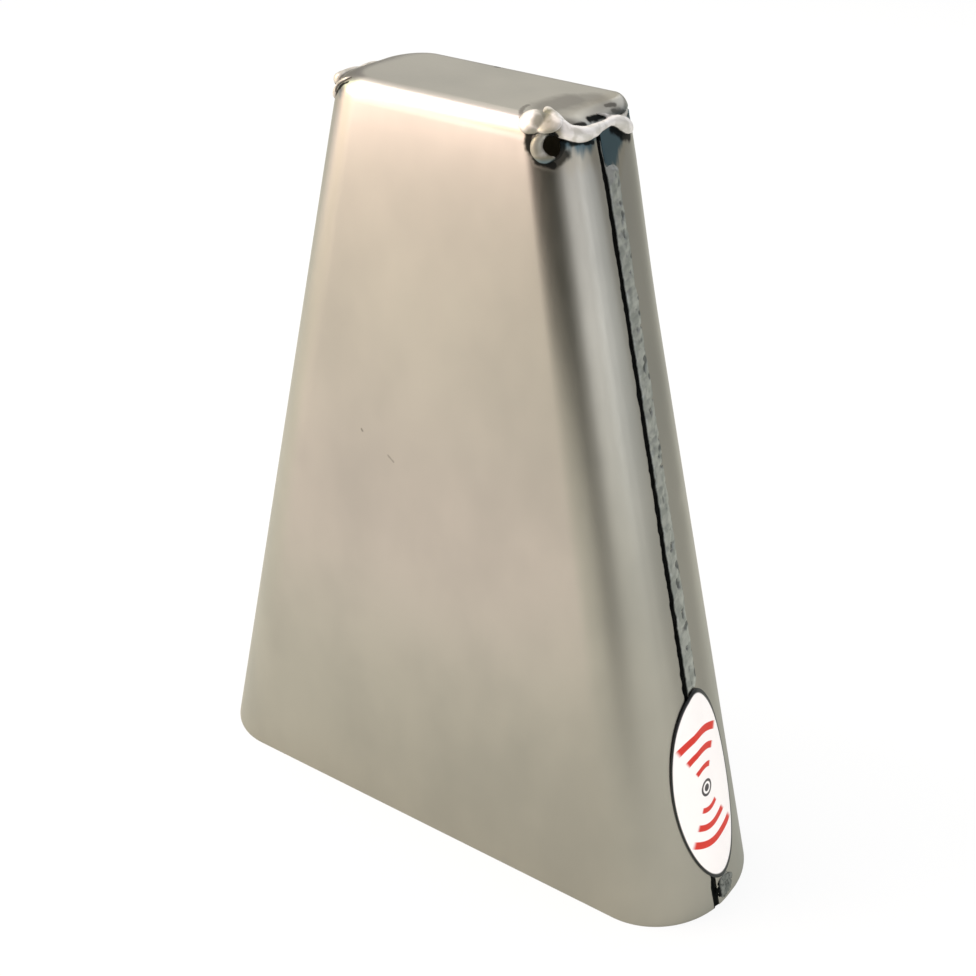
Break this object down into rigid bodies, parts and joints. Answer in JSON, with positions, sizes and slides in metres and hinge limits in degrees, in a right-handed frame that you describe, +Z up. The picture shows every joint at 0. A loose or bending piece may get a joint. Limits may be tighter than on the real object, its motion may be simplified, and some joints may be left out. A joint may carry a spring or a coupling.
{
  "type": "handheld cowbell",
  "caption": "Flared handheld cowbell folded from sheet steel, open at the mouth, with welded narrow sides, wavy weld beads closing the ends of its flat crown and an oval label on one side.",
  "frame": {"origin": "centre of the mouth, on the plane of the rim that the bell stands on", "axes": "+Z up from the mouth to the crown, X along the wide side of the mouth with the labelled narrow side at +X, -Y out of the front broad face"},
  "size_m": [0.1836, 0.0574, 0.2322],
  "materials": {
    "bell_steel": "satin brushed bare steel, fine grain along the bell, blued by heat beside the crown welds",
    "weld_metal": "bright as-laid weld bead, rippled, with dark toes and a few pits",
    "label_film": "thin semi-gloss printed film"
  },
  "bodies": {
    "root": {"bell_shell": "bell_steel", "right_seam_weld": "weld_metal", "left_seam_weld": "weld_metal", "right_crown_weld": "weld_metal", "left_crown_weld": "weld_metal", "right_front_corner_tack": "weld_metal", "right_back_corner_tack": "weld_metal", "left_front_corner_tack": "weld_metal", "left_back_corner_tack": "weld_metal", "right_mouth_tack": "weld_metal", "left_mouth_tack": "weld_metal", "label": "label_film"}
  },
  "joints": []
}
